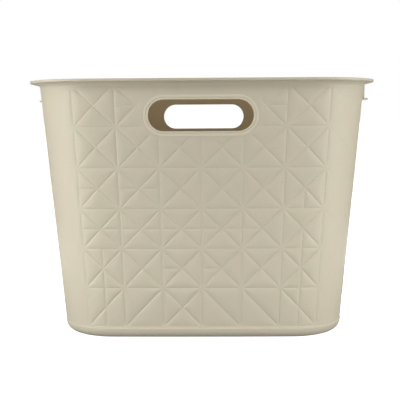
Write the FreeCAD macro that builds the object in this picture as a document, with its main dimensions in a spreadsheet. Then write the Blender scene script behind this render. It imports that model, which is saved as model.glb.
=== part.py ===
"""Tapered storage basket moulded in one shot, with a flanged rim and two hand slots.

The basket is divided into its working zones, each a closed solid that meets its
neighbours face to face: rim, four wall panels, four corner walls, base band,
floor, two slot collars and two sets of nesting stops.

Frame: millimetres, +Z up, origin under the middle of the foot ring. The long
sides with the hand slots face -Y (front) and +Y (rear).
"""

import FreeCAD, Part
import math
import os

import Sketcher

SIZES = (
    ("height", 286.0, "foot ring to the top of the rim"),
    ("rim_length", 388.0, "rim, outside, left to right"),
    ("rim_depth", 308.0, "rim, outside, front to rear"),
    ("rim_overhang", 10.5, "how far the flange stands out of the wall"),
    ("rim_thickness", 3.0, "flange, top to underside"),
    ("rim_edge_radius", 1.2, "rounding along the flange's outer edges"),
    ("rim_cove_radius", 3.5, "cove between the wall and the flange"),
    ("rim_zone_height", 8.0, "height of the zone that counts as rim"),
    ("side_draft", 22.2, "how far each wall leans in from rim to foot"),
    ("front_crown_radius", 7500.0, "outward bow of the long walls"),
    ("side_crown_radius", 2500.0, "outward bow of the short walls"),
    ("top_corner_radius", 62.0, "wall corner in plan at the rim"),
    ("base_corner_radius", 60.0, "wall corner in plan at the foot"),
    ("wall_thickness", 1.8, "moulded wall"),
    ("base_edge_radius", 8.6, "outer rounding from wall to foot"),
    ("band_upright", 3.4, "smooth band above the base's rounding"),
    ("foot_height", 1.5, "clearance under the floor"),
    ("foot_width", 18.0, "foot ring, measured in from the wall line"),
    ("floor_thickness", 2.0, "floor plate"),
    ("slot_length", 112.5, "hand slot, end to end"),
    ("slot_height", 33.5, "hand slot, top to bottom"),
    ("slot_below_top", 38.7, "top of the rim to the slot's centre line"),
    ("collar_width", 5.2, "collar round the slot, seen from outside"),
    ("collar_proud", 0.8, "how far the collar stands out of the wall"),
    ("stop_inset", 8.0, "near stop, back from the end of the short wall"),
    ("stop_stagger", 17.0, "how much further back its partner sits"),
    ("stop_drop", 22.0, "top of the rim to the underside of the foot"),
    ("stop_rib_width", 2.4, "upright rib of a stop, along the wall"),
    ("stop_rib_depth", 3.4, "upright rib of a stop, out of the wall"),
    ("stop_foot_width", 8.0, "foot of a stop, along the wall"),
    ("stop_foot_depth", 6.6, "foot of a stop, out of the wall"),
    ("stop_foot_height", 2.0, "foot of a stop, top to bottom"),
)

doc = FreeCAD.newDocument("storage_basket")
sheet = doc.addObject("Spreadsheet::Sheet", "Sizes")
for row, (alias, size, note) in enumerate(SIZES, start=1):
    sheet.set(f"A{row}", alias)
    sheet.set(f"B{row}", str(size))
    sheet.set(f"C{row}", note)
    sheet.setAlias(f"B{row}", alias)
doc.recompute()

# Heights and lengths that follow from the sheet, as expressions.
TOP = "Sizes.height"
BAND_TOP = "Sizes.base_edge_radius + Sizes.band_upright"
FLANGE_UNDERSIDE = "Sizes.height - Sizes.rim_thickness"
RIM_ZONE_UNDERSIDE = "Sizes.height - Sizes.rim_zone_height"
FLOOR_TOP = "Sizes.foot_height + Sizes.floor_thickness"
SLOT_CENTRE = "Sizes.height - Sizes.slot_below_top"
INSIDE = "-Sizes.wall_thickness"
PAST_THE_RIM = "Sizes.rim_length + Sizes.rim_depth"  # clear of the basket any way
SOLVER_STEPS = 60  # far more than the corner arc's centre needs to settle


def value(expression):
    """The number that an expression on the sheet gives, in millimetres."""
    return float(sheet.evalExpression(expression))


def half_length(level):
    lean = f"Sizes.side_draft * (1 - ({level}) / Sizes.height)"
    return f"Sizes.rim_length / 2 - Sizes.rim_overhang - {lean}"


def half_depth(level):
    lean = f"Sizes.side_draft * (1 - ({level}) / Sizes.height)"
    return f"Sizes.rim_depth / 2 - Sizes.rim_overhang - {lean}"


def corner_radius(level):
    change = "(Sizes.top_corner_radius - Sizes.base_corner_radius)"
    return f"Sizes.base_corner_radius + {change} * ({level}) / Sizes.height"


def new_body(name):
    body = doc.addObject("PartDesign::Body", name)
    body.Label = name
    doc.recompute()
    return body


def new_sketch(body, name, plane_role):
    """A sketch on one of the body's own origin planes."""
    sketch = body.newObject("Sketcher::SketchObject", name)
    features = body.Origin.OriginFeatures
    plane = [item for item in features if item.Role == plane_role][0]
    sketch.AttachmentSupport = [(plane, "")]
    sketch.MapMode = "FlatFace"
    return sketch


def bind(sketch, constraint, expression):
    """Adds a dimension to a sketch and ties it to the sheet."""
    number = sketch.addConstraint(constraint)
    sketch.setExpression(f"Constraints[{number}]", expression)


def arc(centre, radius, start, end):
    circle = Part.Circle(centre, FreeCAD.Vector(0, 0, 1), radius)
    return Part.ArcOfCircle(circle, start, end)


def plan_outline(body, name, level, height, offset="0"):
    """The wall's outline at one level: four crowned sides, four tangent corners.

    level sets the size of the outline, height the height at which it is drawn,
    and offset moves every side outwards by the same amount.
    """
    sketch = new_sketch(body, name, "XY_Plane")
    sketch.setExpression("AttachmentOffset.Base.z", height)
    front_radius = f"Sizes.front_crown_radius + ({offset})"
    side_radius = f"Sizes.side_crown_radius + ({offset})"
    bend_radius = f"{corner_radius(level)} + ({offset})"
    front_centre = f"Sizes.front_crown_radius - ({half_depth(level)})"
    side_centre = f"Sizes.side_crown_radius - ({half_length(level)})"

    long_side = value(front_radius)
    short_side = value(side_radius)
    bend = value(bend_radius)
    front_y = value(front_centre)
    side_x = value(side_centre)

    # The corner's centre lies where it is tangent to both crowned sides.
    x = long_side - front_y - bend
    y = 0.0
    for _ in range(SOLVER_STEPS):
        y = math.sqrt((long_side - bend) ** 2 - x**2) - front_y
        x = math.sqrt((short_side - bend) ** 2 - y**2) - side_x
    front_sweep = math.atan2(x, y + front_y)
    side_sweep = math.atan2(y, x + side_x)

    quarter = math.pi / 2
    sides = (
        (FreeCAD.Vector(-side_x, 0, 0), short_side, 0, side_sweep),
        (FreeCAD.Vector(0, -front_y, 0), long_side, quarter, front_sweep),
        (FreeCAD.Vector(side_x, 0, 0), short_side, 2 * quarter, side_sweep),
        (FreeCAD.Vector(0, front_y, 0), long_side, 3 * quarter, front_sweep),
    )
    corners = ((x, y), (-x, y), (-x, -y), (x, -y))
    for number, (centre, radius, middle, sweep) in enumerate(sides):
        sketch.addGeometry(arc(centre, radius, middle - sweep, middle + sweep))
        following = sides[(number + 1) % 4]
        start = middle + sweep
        end = middle + quarter - following[3]
        corner = FreeCAD.Vector(*corners[number], 0)
        sketch.addGeometry(arc(corner, bend, start, end))

    for number in range(8):
        link = (number, 2, (number + 1) % 8, 1)
        sketch.addConstraint(Sketcher.Constraint("Tangent", *link))
    for number in (2, 6):
        on_axis = Sketcher.Constraint("PointOnObject", number, 3, -2)
        sketch.addConstraint(on_axis)
        bind(sketch, Sketcher.Constraint("Radius", number, long_side), front_radius)
    for number in (0, 4):
        on_axis = Sketcher.Constraint("PointOnObject", number, 3, -1)
        sketch.addConstraint(on_axis)
        bind(sketch, Sketcher.Constraint("Radius", number, short_side), side_radius)
    for number in (1, 3, 5, 7):
        bind(sketch, Sketcher.Constraint("Radius", number, bend), bend_radius)
    rear = Sketcher.Constraint("DistanceY", 2, 3, -1, 1, front_y)
    front = Sketcher.Constraint("DistanceY", -1, 1, 6, 3, front_y)
    right = Sketcher.Constraint("DistanceX", 0, 3, -1, 1, side_x)
    left = Sketcher.Constraint("DistanceX", -1, 1, 4, 3, side_x)
    bind(sketch, rear, front_centre)
    bind(sketch, front, front_centre)
    bind(sketch, right, side_centre)
    bind(sketch, left, side_centre)
    return sketch


def edges_at(shape, height):
    """Names of the edges that lie in the horizontal plane at a height."""
    names = []
    for number, edge in enumerate(shape.Edges, start=1):
        box = edge.BoundBox
        if abs(box.ZMin - height) < 0.001 and abs(box.ZMax - height) < 0.001:
            names.append(f"Edge{number}")
    return names


def round_edges(body, name, feature, height, radius):
    doc.recompute()
    fillet = body.newObject("PartDesign::Fillet", name)
    fillet.Base = (feature, edges_at(feature.Shape, value(height)))
    fillet.setExpression("Radius", radius)
    body.Tip = fillet
    doc.recompute()
    return fillet


def drafted_form(name, offset):
    """A solid that fills the leaning walls from the base band to the rim's top."""
    body = new_body(name)
    lower = plan_outline(body, f"{name}_lower", BAND_TOP, BAND_TOP, offset)
    upper = plan_outline(body, f"{name}_upper", TOP, TOP, offset)
    loft = body.newObject("PartDesign::AdditiveLoft", f"{name}_loft")
    loft.Profile = lower
    loft.Sections = [upper]
    loft.Ruled = True
    body.Tip = loft
    doc.recompute()
    return body


def plan_plate(name, level, offset, bottom, thickness):
    """A flat plate with the wall's outline, moved in or out by an offset."""
    body = new_body(name)
    sketch = plan_outline(body, f"{name}_outline", level, bottom, offset)
    pad = body.newObject("PartDesign::Pad", f"{name}_pad")
    pad.Profile = sketch
    pad.setExpression("Length", thickness)
    body.Tip = pad
    doc.recompute()
    return body


def stadium_bar(name, margin):
    """A bar along Y with the hand slot's outline, widened by a margin."""
    body = new_body(name)
    sketch = new_sketch(body, f"{name}_outline", "XZ_Plane")
    sketch.setExpression("AttachmentOffset.Base.y", SLOT_CENTRE)
    end_radius = f"Sizes.slot_height / 2 + {margin}"
    end_centre = "(Sizes.slot_length - Sizes.slot_height) / 2"
    radius = value(end_radius)
    reach = value(end_centre)
    quarter = math.pi / 2
    right = FreeCAD.Vector(reach, 0, 0)
    left = FreeCAD.Vector(-reach, 0, 0)
    rise = FreeCAD.Vector(0, radius, 0)
    sketch.addGeometry(arc(right, radius, -quarter, quarter))
    sketch.addGeometry(Part.LineSegment(right + rise, left + rise))
    sketch.addGeometry(arc(left, radius, quarter, 3 * quarter))
    sketch.addGeometry(Part.LineSegment(left - rise, right - rise))
    for number in range(4):
        link = (number, 2, (number + 1) % 4, 1)
        sketch.addConstraint(Sketcher.Constraint("Tangent", *link))
    for number in (0, 2):
        on_axis = Sketcher.Constraint("PointOnObject", number, 3, -1)
        sketch.addConstraint(on_axis)
    bind(sketch, Sketcher.Constraint("Radius", 0, radius), end_radius)
    bind(sketch, Sketcher.Constraint("DistanceX", -1, 1, 0, 3, reach), end_centre)
    bind(sketch, Sketcher.Constraint("DistanceX", 2, 3, -1, 1, reach), end_centre)
    pad = body.newObject("PartDesign::Pad", f"{name}_pad")
    pad.Profile = sketch
    pad.setExpression("Length", PAST_THE_RIM)
    pad.Midplane = True
    body.Tip = pad
    doc.recompute()
    return body


def box(name, lows, sizes):
    """A box with each corner coordinate and size tied to the sheet."""
    made = doc.addObject("Part::Box", name)
    for axis, expression in zip("xyz", lows):
        made.setExpression(f"Placement.Base.{axis}", expression)
    for side, expression in zip(("Length", "Width", "Height"), sizes):
        made.setExpression(side, expression)
    return made


def panel_wedge(name, half_width, turn):
    """The space in front of one wall panel, as wide as its crowned side.

    The panel ends where the corners begin, so the space widens towards the rim.
    turn is 0 for the front and goes round in quarter turns.
    """
    wedge = doc.addObject("Part::Wedge", name)
    bottom = f"{half_width('0')} - Sizes.base_corner_radius"
    top = f"{half_width(TOP)} - Sizes.top_corner_radius"
    wedge.setExpression("Xmin", f"-({bottom})")
    wedge.setExpression("Xmax", bottom)
    wedge.setExpression("X2min", f"-({top})")
    wedge.setExpression("X2max", top)
    wedge.setExpression("Ymax", TOP)
    wedge.setExpression("Zmax", PAST_THE_RIM)
    wedge.setExpression("Z2max", PAST_THE_RIM)
    wedge.Ymin = 0
    wedge.Zmin = 0
    wedge.Z2min = 0
    upright = FreeCAD.Rotation(FreeCAD.Vector(1, 0, 0), 90)
    facing = FreeCAD.Rotation(FreeCAD.Vector(0, 0, 1), 90 * turn)
    wedge.Placement = FreeCAD.Placement(FreeCAD.Vector(0, 0, 0), facing * upright)
    return wedge


def cut(name, base, tool):
    made = doc.addObject("Part::Cut", name)
    made.Base = base
    made.Tool = tool
    return made


def common(name, base, tool):
    made = doc.addObject("Part::Common", name)
    made.Base = base
    made.Tool = tool
    return made


def fuse(name, shapes):
    made = doc.addObject("Part::MultiFuse", name)
    made.Shapes = shapes
    return made


def slab(name, bottom, thickness):
    """Everything between two heights."""
    low = f"-({PAST_THE_RIM}) / 2"
    return box(name, (low, low, bottom), (PAST_THE_RIM, PAST_THE_RIM, thickness))


# The leaning walls: an outside and a parallel inside.
wall_outside = drafted_form("wall_outside", "0")
wall_inside = drafted_form("wall_inside", INSIDE)
tub = cut("tub", wall_outside, wall_inside)
parts = {}


def make_floor_and_band():
    """The floor plate, and the upright band with its rounded edge and foot ring."""
    outside = plan_plate("band_outside", BAND_TOP, "0", "0", BAND_TOP)
    round_edges(outside, "foot_edge", outside.Tip, "0", "Sizes.base_edge_radius")
    depth = f"{BAND_TOP} - ({FLOOR_TOP})"
    inside = plan_plate("band_inside", BAND_TOP, INSIDE, FLOOR_TOP, depth)
    inner_radius = "Sizes.base_edge_radius - Sizes.wall_thickness"
    round_edges(inside, "floor_edge", inside.Tip, FLOOR_TOP, inner_radius)
    inset = "-Sizes.foot_width"
    plate = ("Sizes.foot_height", "Sizes.floor_thickness")
    parts["floor_panel"] = plan_plate("floor_panel", BAND_TOP, inset, *plate)
    column = plan_plate("floor_column", BAND_TOP, inset, "0", FLOOR_TOP)
    ring = cut("band_ring", outside, inside)
    parts["base_band"] = cut("base_band", ring, column)


def make_rim():
    """The flange with its rounded lip, the cove under it and the wall's top."""
    outward = "Sizes.rim_overhang"
    blank = plan_plate("flange", TOP, outward, FLANGE_UNDERSIDE, "Sizes.rim_thickness")
    lower = round_edges(
        blank, "lip_lower", blank.Tip, FLANGE_UNDERSIDE, "Sizes.rim_edge_radius"
    )
    round_edges(blank, "lip_upper", lower, TOP, "Sizes.rim_edge_radius")
    zone = slab("rim_slab", RIM_ZONE_UNDERSIDE, "Sizes.rim_zone_height")
    plug = common("rim_plug", wall_outside, zone)
    joined = fuse("rim_joined", [blank, plug])
    doc.recompute()

    cove = doc.addObject("Part::Fillet", "rim_cove")
    cove.Base = joined
    radius = value("Sizes.rim_cove_radius")
    # The wall meets the flange inside a line half way along the overhang.
    limit_x = value("(Sizes.rim_length - Sizes.rim_overhang) / 2")
    limit_y = value("(Sizes.rim_depth - Sizes.rim_overhang) / 2")
    numbers = []
    for name in edges_at(joined.Shape, value(FLANGE_UNDERSIDE)):
        number = int(name.removeprefix("Edge"))
        bounds = joined.Shape.Edges[number - 1].BoundBox
        if bounds.XMax < limit_x and bounds.YMax < limit_y:
            if bounds.XMin > -limit_x and bounds.YMin > -limit_y:
                numbers.append(number)
    cove.Edges = [(number, radius, radius) for number in numbers]
    parts["top_rim"] = cut("top_rim", cove, wall_inside)


def make_walls():
    """Four crowned panels, four corner walls, with room left for the collars."""
    height = f"{RIM_ZONE_UNDERSIDE} - ({BAND_TOP})"
    ring = common("wall_ring", tub, slab("wall_slab", BAND_TOP, height))
    collar_bar = stadium_bar("collar_bar", "Sizes.collar_width")
    facings = (
        ("front_wall", half_length, True),
        ("right_wall", half_depth, False),
        ("rear_wall", half_length, True),
        ("left_wall", half_depth, False),
    )
    wedges = []
    for turn, (name, half_width, has_slot) in enumerate(facings):
        wedge = panel_wedge(f"{name}_space", half_width, turn)
        wedges.append(wedge)
        if has_slot:
            panel = common(f"{name}_panel", ring, wedge)
            parts[name] = cut(name, panel, collar_bar)
        else:
            parts[name] = common(name, ring, wedge)
    corner_ring = cut("corner_ring", ring, fuse("panel_spaces", wedges))
    quadrants = (
        ("front_left_corner", f"-({PAST_THE_RIM})", f"-({PAST_THE_RIM})"),
        ("front_right_corner", "0", f"-({PAST_THE_RIM})"),
        ("rear_right_corner", "0", "0"),
        ("rear_left_corner", f"-({PAST_THE_RIM})", "0"),
    )
    for name, low_x, low_y in quadrants:
        size = (PAST_THE_RIM, PAST_THE_RIM, TOP)
        quadrant = box(f"{name}_space", (low_x, low_y, "0"), size)
        parts[name] = common(name, corner_ring, quadrant)
    return collar_bar


def make_collars(collar_bar):
    """Raised collars that line the hand slots and follow the leaning walls.

    They stand out of the wall and end flush with its inner face.
    """
    skin_out = drafted_form("collar_outside", "Sizes.collar_proud")
    skin = cut("collar_skin", skin_out, wall_inside)
    slot_bar = stadium_bar("slot_bar", "0")
    tube = cut("collar_tube", collar_bar, slot_bar)
    both = common("collar_pair", skin, tube)
    low = f"-({PAST_THE_RIM})"
    size = (f"2 * ({PAST_THE_RIM})", PAST_THE_RIM, TOP)
    ahead = box("front_space", (low, low, "0"), size)
    behind = box("rear_space", (low, "0", "0"), size)
    parts["front_handle_collar"] = common("front_handle_collar", both, ahead)
    parts["rear_handle_collar"] = common("rear_handle_collar", both, behind)


def make_stops():
    """Lugs under the rim of the short walls that keep nested baskets apart.

    Each wall has a near and a far lug, staggered so that a basket turned half
    round stands on another one's lugs.
    """
    solid = fuse("basket_solid", [wall_outside, parts["top_rim"]])
    wall_end = f"{half_depth(TOP)} - Sizes.top_corner_radius - Sizes.stop_inset"
    wall_line = "Sizes.rim_length / 2 - Sizes.rim_overhang"
    foot_underside = "Sizes.height - Sizes.stop_drop"
    rib_height = "Sizes.stop_drop - Sizes.rim_thickness"
    staggered = f"{wall_end} - Sizes.stop_stagger"
    # Each lug starts inside the wall, deeper than the wall leans by its foot.
    root = "Sizes.side_draft"
    for side, sign in (("left", -1), ("right", 1)):
        near = wall_end if sign > 0 else staggered
        far = staggered if sign > 0 else wall_end
        pieces = []
        for place, along in (("near", f"-({near})"), ("far", far)):
            shapes = []
            for kind, width, depth, height in (
                ("rib", "Sizes.stop_rib_width", "Sizes.stop_rib_depth", rib_height),
                ("foot", "Sizes.stop_foot_width", "Sizes.stop_foot_depth",
                 "Sizes.stop_foot_height"),
            ):
                lean = "Sizes.side_draft * Sizes.stop_drop / Sizes.height"
                face = f"{wall_line} - {lean} + {depth}"
                length = f"{root} + {depth}"
                low_x = f"{face} - ({length})" if sign > 0 else f"-({face})"
                low_y = f"{along} - {width} / 2"
                lows = (low_x, low_y, foot_underside)
                name = f"{side}_{place}_{kind}"
                shapes.append(box(name, lows, (length, width, height)))
            pieces.append(fuse(f"{side}_{place}_lug", shapes))
        pair = fuse(f"{side}_lugs", pieces)
        name = f"{side}_nesting_stops"
        parts[name] = cut(name, pair, solid)


make_floor_and_band()
make_rim()
make_stops()
make_collars(make_walls())
doc.recompute()

faults = []
for item in doc.Objects:
    if "Invalid" in item.State or "Error" in item.State:
        faults.append(f"{item.Label}: {item.State}")
for name, part in parts.items():
    part.Label = name
    if part.Shape.isNull() or not part.Shape.isValid():
        faults.append(f"{name}: shape is null or not valid")
    elif not part.Shape.Solids:
        faults.append(f"{name}: no solid")
if faults:
    raise RuntimeError("; ".join(faults))

os.makedirs("parts", exist_ok=True)
for name, part in parts.items():
    part.Shape.exportStep(f"parts/{name}.step")
    volume = part.Shape.Volume / 1000
    print(f"{name}: {len(part.Shape.Solids)} solid(s), {volume:.1f} cm3")
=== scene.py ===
"""A moulded storage basket with an embossed triangle pattern, drawn round its CAD frame.

The basket is one injection moulding in a warm beige polypropylene. Its walls lean outwards, bow
very slightly and turn round wide corners, and every wall is embossed with a grid of cells whose
grooves leave small pillowed triangles between them.
"""

import math

import bpy
import numpy as np
from mathutils import Matrix, Vector


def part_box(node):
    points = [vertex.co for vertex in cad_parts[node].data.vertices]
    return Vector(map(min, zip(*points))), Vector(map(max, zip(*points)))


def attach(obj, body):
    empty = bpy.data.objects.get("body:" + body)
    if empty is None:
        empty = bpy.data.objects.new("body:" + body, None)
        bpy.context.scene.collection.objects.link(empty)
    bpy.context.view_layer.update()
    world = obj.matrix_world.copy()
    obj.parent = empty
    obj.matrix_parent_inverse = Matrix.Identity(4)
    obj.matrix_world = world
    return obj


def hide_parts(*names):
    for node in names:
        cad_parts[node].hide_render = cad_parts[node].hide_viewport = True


bl_info = {
    "name": "Moulded storage basket",
    "version": (1, 0, 0),
    "blender": (4, 5, 0),
    "location": "3D View > Sidebar > Basket",
    "description": "Builds an embossed plastic storage basket round its CAD frame",
    "category": "Add Mesh",
}

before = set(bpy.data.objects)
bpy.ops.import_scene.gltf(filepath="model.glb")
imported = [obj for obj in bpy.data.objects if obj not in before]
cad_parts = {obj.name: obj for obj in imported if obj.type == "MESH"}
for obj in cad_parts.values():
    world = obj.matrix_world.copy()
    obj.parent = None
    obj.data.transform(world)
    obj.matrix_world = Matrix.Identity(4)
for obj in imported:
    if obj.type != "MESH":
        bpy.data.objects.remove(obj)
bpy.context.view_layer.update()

MM = 0.001

# Places that the CAD frame sets.
RIM_LOW, RIM_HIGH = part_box("top_rim")
WALL_LOW, WALL_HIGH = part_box("front_wall")
BAND_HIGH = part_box("base_band")[1]
FLOOR_LOW, FLOOR_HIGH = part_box("floor_panel")
COLLAR_LOW, COLLAR_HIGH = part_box("front_handle_collar")
BASKET_HEIGHT = RIM_HIGH.z

# Sizes of the CAD pieces: how far the flange stands out of the wall, the flange's thickness, the
# collar's width round its slot and how far it stands proud of the wall's face.
OVERHANG = 10.5 * MM
FLANGE = 3 * MM
COLLAR_WIDTH = 5.2 * MM
COLLAR_PROUD = 0.8 * MM

# The base band's section is an ellipse's quarter at 1, and fuller below 1.
BAND_FULLNESS = 0.85

# The emboss fades out over these distances: beside and below a slot's collar, under a plain strip
# below the rim, and above the lowest row line, where a share of it stays.
SLOT_FADE = 8 * MM
RIM_PLAIN = 0.5 * MM
RIM_FADE = 4 * MM
BASE_FADE = 3 * MM
BASE_SHARE = 0.6

# Distances from a cell's grooves are blended by their inverse powers, and never reach zero.
GROOVE_BLEND = 4.0
LEAST_DISTANCE = 0.01 * MM

# Height of the flat stars where grooves meet, as a share of the triangles' height.
STAR_RISE = 0.16

# A square of the wall's mesh is split along a groove when its diagonals differ by more than this.
SPLIT_FALL = 0.01 * MM

# Faces of the wall keep their own normal when they turn by more degrees than this.
CRISP_ANGLE = 7.0

# Steps of a wall's outer skin to one of its plain inner skin. That skin covers the back of the
# collar, all but a narrow strip along the slot.
INNER_STRIDE = 4
BARE_STRIP = 0.4 * MM

# Mesh steps round the basket of what is swept round it, and of its floor plate.
SWEEP_STEPS = 416
FLOOR_STEPS = 208

# Rings of the floor plate as shares of its outline; the last one bounds the gate's dimple.
FLOOR_RINGS = (1.0, 0.8, 0.6, 0.4, 0.2, 0.06, 0.03)
GATE_DIMPLE = 0.5 * MM

# The emboss grid goes once round the basket in 26 columns. Column 0 starts at the middle of the
# front, and the columns count on to the right as seen from outside: six on the front pattern
# (-3 to 3), seven from there to the rear pattern, six on the rear and seven back to the front.
COLUMNS = 26
ROWS = 6
PATTERN_HALF = 3
SIDE_PATTERN_HALF = 1.5
SIDE_MIDDLE = 6.5
REAR_MIDDLE = 13
CORNER_COLUMNS = 2

# The hand slots and the turns of their middles.
SLOTS = (("front", 0), ("rear", REAR_MIDDLE))

# Each mark is a set of grooves across one cell, from corner to corner in shares of the cell,
# with x to the right and y up.
GROOVES = {
    "/": ((0, 0, 1, 1),),
    "\\": ((0, 1, 1, 0),),
    "X": ((0, 0, 1, 1), (0, 1, 1, 0)),
    "-": ((0, 0.5, 1, 0.5),),
    "<": ((0, 0.5, 0.5, 0.5),),
    ">": ((0.5, 0.5, 1, 0.5),),
    "|": ((0.5, 0, 0.5, 1),),
    ",": ((0.5, 0, 0.5, 0.5),),
}
CELL_BORDER = ((0, 0, 1, 0), (0, 0, 0, 1), (1, 0, 1, 1), (0, 1, 1, 1))

# Marks of the long walls' cells, top row first, left to right as seen from outside. The slot
# takes the place of the two empty cells.
LONG_WALL_CELLS = (
    ("X", "X<", "", "", "X>", "X"),
    ("X", "X", "X", "X", "X", "X"),
    ("X<", "X-", "X", "X", "X", "X,"),
    ("X-", "X-", "X-", "X-", "X<", "X,"),
    ("X|", "X", "X<", "X<", "X", "X|"),
    ("/|", "/", "X", "\\", "\\", "\\|"),
)
SHORT_WALL_CELLS = (
    ("X", "X", "X"),
    ("X", "X-", "X"),
    ("X<", "X", "X-"),
    ("X-", "X-", "X,"),
    ("X|", "X", "X|"),
    ("/|", "X", "\\|"),
)

# Each wall piece: its CAD node and the columns between which it lies.
WALL_SPANS = (
    ("front_wall", -2.5, 2.5),
    ("front_right_corner", 2.5, 4.75),
    ("right_wall", 4.75, 8.25),
    ("rear_right_corner", 8.25, 10.5),
    ("rear_wall", 10.5, 15.5),
    ("rear_left_corner", 15.5, 17.75),
    ("left_wall", 17.75, 21.25),
    ("front_left_corner", 21.25, 23.5),
)

# Each large lamp: its name, its place and size in metres, and the setting that holds its power.
LAMPS = (
    ("left softbox", (-0.43, -0.31, 0.22), (0.25, 0.5), "left_power"),
    ("right softbox", (0.43, -0.31, 0.22), (0.25, 0.5), "right_power"),
    ("key softbox", (0.0, -0.9, 0.95), (0.8, 0.4), "key_power"),
    ("front fill", (0.0, -1.6, 0.2), (1.4, 0.34), "front_power"),
    ("rear key softbox", (0.0, 0.9, 0.95), (0.8, 0.4), "key_power"),
    ("rear fill", (0.0, 1.6, 0.2), (1.4, 0.34), "rear_power"),
)

# Strips that stand for the light thrown up by the floor: one on each side of the basket.
BOUNCE_SIDES = (("front", 0, -1), ("right", 1, 0), ("rear", 0, 1), ("left", -1, 0))
BOUNCE_SIZE = (0.8, 0.03)
BOUNCE_ASIDE = 0.18
BOUNCE_HEIGHT = 0.02


def linear(hex_colour):
    """An sRGB colour such as "#c8c0aa" as linear red, green and blue."""
    channels = [int(hex_colour[i:i + 2], 16) / 255 for i in (1, 3, 5)]
    return tuple(c / 12.92 if c <= 0.04045 else ((c + 0.055) / 1.055) ** 2.4 for c in channels)


def length(name, description, default):
    """A property that holds a length in metres."""
    return bpy.props.FloatProperty(
        name=name, description=description, default=default, subtype="DISTANCE",
        unit="LENGTH", precision=4,
    )


def number(name, description, default, subtype="NONE", unit="NONE"):
    """A property that holds a number, plain or with a unit."""
    return bpy.props.FloatProperty(
        name=name, description=description, default=default, subtype=subtype, unit=unit,
        precision=4,
    )


def power(name, description, default):
    """A property that holds a lamp's power in watts."""
    return number(name, description, default, "POWER", "POWER")


def angle(name, description, default):
    """A property that holds an angle in radians."""
    return number(name, description, default, "ANGLE", "ROTATION")


def colour(name, description, hex_colour):
    """A property that holds a colour, given as sRGB hex."""
    return bpy.props.FloatVectorProperty(
        name=name, description=description, default=linear(hex_colour), subtype="COLOR",
        size=3, min=0, max=1,
    )


class BasketForm(bpy.types.PropertyGroup):
    """Sizes of the basket's plan outline and shell."""

    half_length: length(
        "Half length", "Half the wall's length at the rim", round(RIM_HIGH.x, 4) - OVERHANG)
    half_depth: length(
        "Half depth", "Half the wall's depth at the rim", round(RIM_HIGH.y, 4) - OVERHANG)
    draft: length("Draft", "How far each wall leans out between base and rim", 22.2 * MM)
    top_corner: length("Top corner radius", "Corner radius at the rim", 62 * MM)
    base_corner: length("Base corner radius", "Corner radius at the base", 60 * MM)
    front_crown: length("Long wall bow", "Radius to which the long walls bow", 7.5)
    side_crown: length("Short wall bow", "Radius to which the short walls bow", 2.5)
    thickness: length("Wall thickness", "Thickness of the walls", 1.8 * MM)
    lip_radius: length("Lip radius", "Rounding of the flange's edge", 1.2 * MM)
    cove_reach: length("Cove reach", "How far the hollow under the flange runs out", 6.5 * MM)
    cove_drop: length("Cove drop", "How far that hollow runs down the wall", 4.8 * MM)
    foot_radius: length("Foot radius", "Rounding under the base band", 8.6 * MM)
    collar_lip: length("Collar lip", "Width of the lip along each hand slot", 1.7 * MM)
    collar_ledge: length("Collar ledge", "Height of the collar's flat part", 0.45 * MM)
    ledge: length("Band ledge", "How far the base band stands proud of the wall", 0.55 * MM)


class BasketEmboss(bpy.types.PropertyGroup):
    """The triangle pattern pressed into the walls."""

    steps: bpy.props.IntProperty(
        name="Steps per cell", description="Mesh steps across one cell, a multiple of 4",
        default=48)
    first_row: length("First row", "Height of the lowest row line", 13.5 * MM)
    row_height: length("Row height", "Height of one cell", 44.42 * MM)
    base_column: length("Column at the base", "Width of a long wall's cell at the base", 42.2 * MM)
    column_growth: number("Column growth", "Growth of that width per height", 0.0146)
    depth: length("Pillow depth", "Fall of a triangle from its top to its grooves", 0.98 * MM)
    pillow: length("Pillow width", "Distance over which a triangle rises", 9.3 * MM)
    pillow_power: number("Pillow power", "How much of the rise lies next to the groove", 1.9)
    crease: length("Crease depth", "Depth of the fine crease along each groove", 0.32 * MM)
    crease_width: length("Crease width", "Half the width of that crease", 1.3 * MM)
    level_rise: length("Level rise", "Shift that makes the level grooves shallower", 0.6 * MM)
    node_radius: length("Node radius", "Radius of the flat star where grooves meet", 7 * MM)
    border_fade: number("Border fade", "Columns over which the pattern fades at its edge", 0.22)
    corner_share: number("Corner share", "Depth of the pattern on the corners", 0.11)


class BasketFinish(bpy.types.PropertyGroup):
    """Colours of the moulded plastic."""

    wall: colour("Wall", "Embossed walls", "#cbc3ae")
    smooth: colour("Smooth parts", "Rim, base band and floor", "#ccc4af")
    collar: colour("Collar", "Collars of the hand slots", "#d8d0bb")
    roughness: number("Roughness", "Roughness of the moulded skin", 0.5, "FACTOR")


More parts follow.
